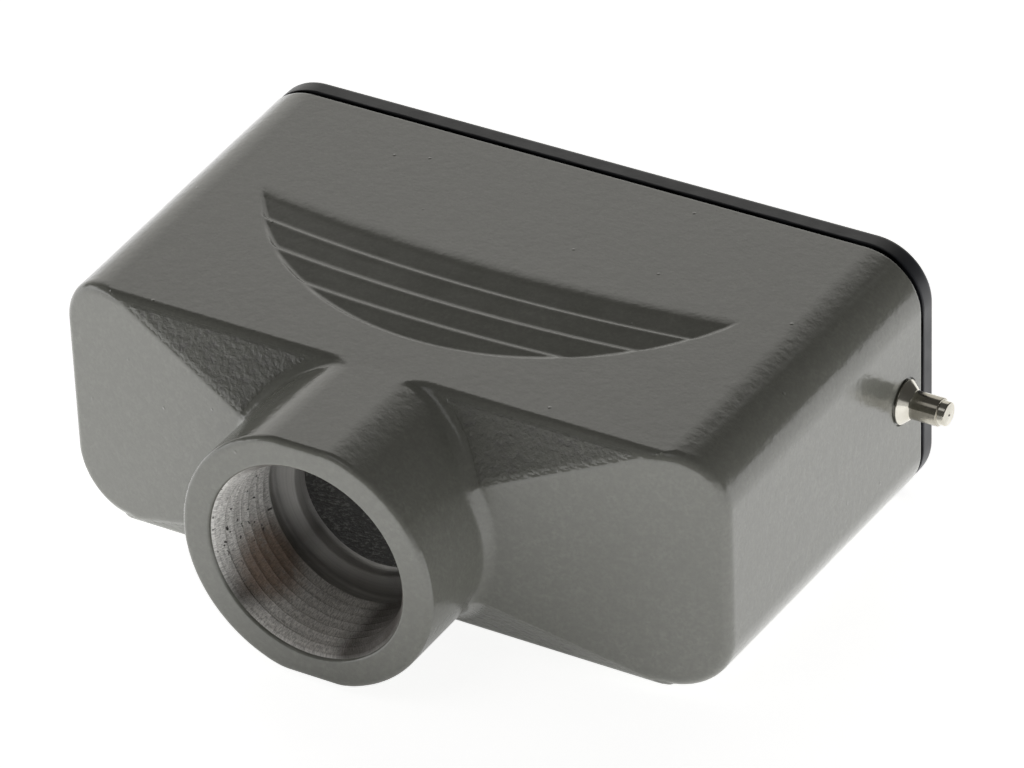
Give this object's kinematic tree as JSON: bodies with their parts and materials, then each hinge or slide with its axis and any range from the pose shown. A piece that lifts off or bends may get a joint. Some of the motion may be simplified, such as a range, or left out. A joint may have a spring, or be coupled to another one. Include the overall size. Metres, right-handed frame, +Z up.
{
  "type": "heavy duty rectangular connector hood",
  "caption": "Die-cast hood of a heavy duty rectangular connector, with straight threaded cable entry, louvred recess, locking pegs at its ends and a rubber rim seal.",
  "frame": {"origin": "on the surface that the hood lies on, under the middle of the whole part", "axes": "+X along the hood's length, -Y out of the cable entry, +Y out of the mating rim, +Z up through the long sides"},
  "size_m": [0.1332, 0.0894, 0.0446],
  "materials": {
    "paint": "semi-gloss warm grey powder coat on die-cast aluminium, bare inside the machined cable entry",
    "nickel": "turned steel, nickel plated",
    "rubber": "smooth black moulded rubber"
  },
  "bodies": {
    "root": {"hood_casting": "paint", "locking_peg_left": "nickel", "locking_peg_right": "nickel", "rim_seal": "rubber"}
  },
  "joints": []
}
